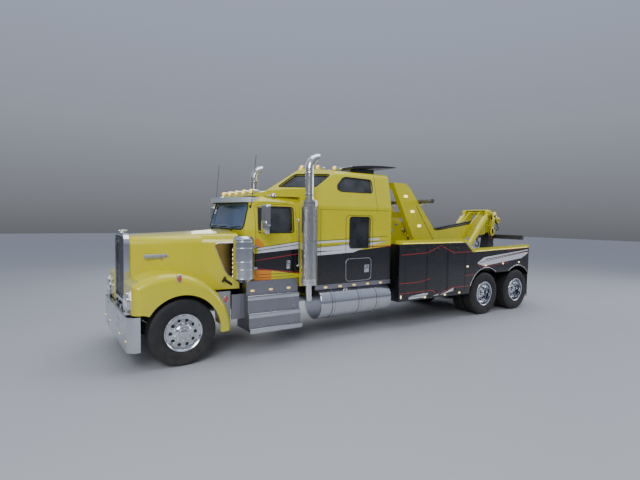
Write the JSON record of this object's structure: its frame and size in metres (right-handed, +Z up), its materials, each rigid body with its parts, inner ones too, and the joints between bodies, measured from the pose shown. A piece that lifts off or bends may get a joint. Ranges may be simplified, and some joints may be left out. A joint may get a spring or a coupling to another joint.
{
  "type": "heavy tow truck",
  "caption": "Long-nosed heavy tow truck with sleeper, recovery body, telescoping boom, folded underlift, light pylon and tilting hood; yellow and black with chrome.",
  "frame": {"origin": "on the ground, at the middle of the truck's length and width", "axes": "+X to the truck's left side, +Y to its rear, +Z up"},
  "size_m": [2.8, 10.44, 3.5539],
  "materials": {
    "frame_paint": "satin black",
    "cab_paint": "gloss yellow, stripes in the render",
    "body_paint": "gloss black",
    "yellow_paint": "gloss yellow",
    "chrome": "mirror polished",
    "polished": "polished",
    "tyre": "matt",
    "glass": "tinted",
    "trim": "matt",
    "lens": "amber lens",
    "flap": "matt",
    "engine_paint": "painted"
  },
  "bodies": {
    "chassis": {"frame_rails": "frame_paint", "axles": "frame_paint", "suspension": "frame_paint", "engine": "engine_paint", "bumper": "chrome", "cab_shell": "cab_paint", "sleeper_shell": "cab_paint", "fixed_glass": "glass", "cab_interior": "trim", "visor": "cab_paint", "air_cleaners": "chrome", "exhaust_stacks": "chrome", "fuel_tanks": "polished", "steps": "polished", "lamps": "lens", "wrecker_body": "body_paint", "tail_deck": "body_paint", "deck_rails": "yellow_paint", "pylon": "yellow_paint", "light_bar": "frame_paint", "mudflaps": "flap", "winch": "frame_paint", "roof_wing": "cab_paint"},
    "hood": {"hood": "cab_paint", "grille": "chrome", "headlights": "chrome"},
    "boom": {"boom_base": "yellow_paint"},
    "boom_inner": {"boom_section": "yellow_paint"},
    "lift_barrels": {"lift_barrels": "yellow_paint"},
    "lift_rods": {"lift_rods": "chrome"},
    "underlift": {"underlift_arm": "frame_paint"},
    "stinger": {"stinger": "frame_paint"},
    "crossbar": {"crossbar": "frame_paint"},
    "knuckle_left": {"knuckle_left": "frame_paint"},
    "wheel_front_left": {"tyre_front_left": "tyre", "rim_front_left": "polished"},
    "wheels_front_drive_left": {"tyres_front_drive_left": "tyre", "rims_front_drive_left": "polished"},
    "wheels_rear_drive_left": {"tyres_rear_drive_left": "tyre", "rims_rear_drive_left": "polished"},
    "door_left": {"door_left": "cab_paint", "door_glass_left": "glass", "mirror_left": "chrome"},
    "locker_front_left": {"locker_front_left": "body_paint"},
    "locker_middle_left": {"locker_middle_left": "body_paint"},
    "locker_rear_left": {"locker_rear_left": "body_paint"},
    "knuckle_right": {"knuckle_right": "frame_paint"},
    "wheel_front_right": {"tyre_front_right": "tyre", "rim_front_right": "polished"},
    "wheels_front_drive_right": {"tyres_front_drive_right": "tyre", "rims_front_drive_right": "polished"},
    "wheels_rear_drive_right": {"tyres_rear_drive_right": "tyre", "rims_rear_drive_right": "polished"},
    "door_right": {"door_right": "cab_paint", "door_glass_right": "glass", "mirror_right": "chrome"},
    "locker_front_right": {"locker_front_right": "body_paint"},
    "locker_middle_right": {"locker_middle_right": "body_paint"},
    "locker_rear_right": {"locker_rear_right": "body_paint"}
  },
  "joints": [
    {"name": "steer_left", "type": "hinge", "parent": "chassis", "child": "knuckle_left", "pos_m": [0.9, -4.4, 0.53], "axis": [0, 0, 1], "range_deg": [-35, 35]},
    {"name": "wheel_front_left", "type": "hinge", "parent": "knuckle_left", "child": "wheel_front_left", "pos_m": [1.05, -4.4, 0.53], "axis": [1, 0, 0], "continuous": true},
    {"name": "wheels_front_drive_left", "type": "hinge", "parent": "chassis", "child": "wheels_front_drive_left", "pos_m": [0.915, 3.13, 0.53], "axis": [1, 0, 0], "continuous": true},
    {"name": "wheels_rear_drive_left", "type": "hinge", "parent": "chassis", "child": "wheels_rear_drive_left", "pos_m": [0.915, 4.47, 0.53], "axis": [1, 0, 0], "continuous": true},
    {"name": "door_left", "type": "hinge", "parent": "chassis", "child": "door_left", "pos_m": [1.03, -3.105, 1.9], "axis": [0, 0, -1], "range_deg": [0, 70]},
    {"name": "locker_front_left", "type": "hinge", "parent": "chassis", "child": "locker_front_left", "pos_m": [1.25, 0.319, 1.2], "axis": [0, 0, -1], "range_deg": [0, 95]},
    {"name": "locker_middle_left", "type": "hinge", "parent": "chassis", "child": "locker_middle_left", "pos_m": [1.25, 1.009, 1.2], "axis": [0, 0, -1], "range_deg": [0, 95]},
    {"name": "locker_rear_left", "type": "hinge", "parent": "chassis", "child": "locker_rear_left", "pos_m": [1.25, 1.699, 1.2], "axis": [0, 0, -1], "range_deg": [0, 95]},
    {"name": "steer_right", "type": "hinge", "parent": "chassis", "child": "knuckle_right", "pos_m": [-0.9, -4.4, 0.53], "axis": [0, 0, 1], "range_deg": [-35, 35]},
    {"name": "wheel_front_right", "type": "hinge", "parent": "knuckle_right", "child": "wheel_front_right", "pos_m": [-1.05, -4.4, 0.53], "axis": [1, 0, 0], "continuous": true},
    {"name": "wheels_front_drive_right", "type": "hinge", "parent": "chassis", "child": "wheels_front_drive_right", "pos_m": [-0.915, 3.13, 0.53], "axis": [1, 0, 0], "continuous": true},
    {"name": "wheels_rear_drive_right", "type": "hinge", "parent": "chassis", "child": "wheels_rear_drive_right", "pos_m": [-0.915, 4.47, 0.53], "axis": [1, 0, 0], "continuous": true},
    {"name": "door_right", "type": "hinge", "parent": "chassis", "child": "door_right", "pos_m": [-1.03, -3.105, 1.9], "axis": [0, 0, 1], "range_deg": [0, 70]},
    {"name": "locker_front_right", "type": "hinge", "parent": "chassis", "child": "locker_front_right", "pos_m": [-1.25, 0.319, 1.2], "axis": [0, 0, 1], "range_deg": [0, 95]},
    {"name": "locker_middle_right", "type": "hinge", "parent": "chassis", "child": "locker_middle_right", "pos_m": [-1.25, 1.009, 1.2], "axis": [0, 0, 1], "range_deg": [0, 95]},
    {"name": "locker_rear_right", "type": "hinge", "parent": "chassis", "child": "locker_rear_right", "pos_m": [-1.25, 1.699, 1.2], "axis": [0, 0, 1], "range_deg": [0, 95]},
    {"name": "hood_tilt", "type": "hinge", "parent": "chassis", "child": "hood", "pos_m": [0, -5.14, 0.89], "axis": [1, 0, 0], "range_deg": [0, 60]},
    {"name": "boom_raise", "type": "hinge", "parent": "chassis", "child": "boom", "pos_m": [0, 1.65, 1.79], "axis": [1, 0, 0], "range_deg": [0, 30]},
    {"name": "boom_slide", "type": "slide", "parent": "boom", "child": "boom_inner", "axis": [0, 0.9914, 0.1305], "range_m": [0, 1.5]},
    {"name": "lift_swing", "type": "hinge", "parent": "chassis", "child": "lift_barrels", "pos_m": [0, 3.35, 1.45], "axis": [1, 0, 0], "range_deg": [0, 36]},
    {"name": "lift_slide", "type": "slide", "parent": "lift_barrels", "child": "lift_rods", "axis": [0, 0.6602, 0.7511], "range_m": [0, 0.89]},
    {"name": "underlift_fold", "type": "hinge", "parent": "chassis", "child": "underlift", "pos_m": [0, 4.7, 0.9], "axis": [-1, 0, 0], "range_deg": [0, 84]},
    {"name": "stinger_slide", "type": "slide", "parent": "underlift", "child": "stinger", "axis": [0, 0.2079, 0.9781], "range_m": [0, 0.45]},
    {"name": "crossbar_swing", "type": "hinge", "parent": "stinger", "child": "crossbar", "pos_m": [0, 5.11913, 1.90993], "axis": [0, 0.9781, -0.2079], "range_deg": [-30, 30]}
  ],
  "couplings": [
    {"joint": "steer_right", "follows": "steer_left", "ratio": 1},
    {"joint": "lift_swing", "follows": "boom_raise", "ratio": 1.1843},
    {"joint": "lift_slide", "follows": "boom_raise", "m_per_rad": 1.6769}
  ]
}
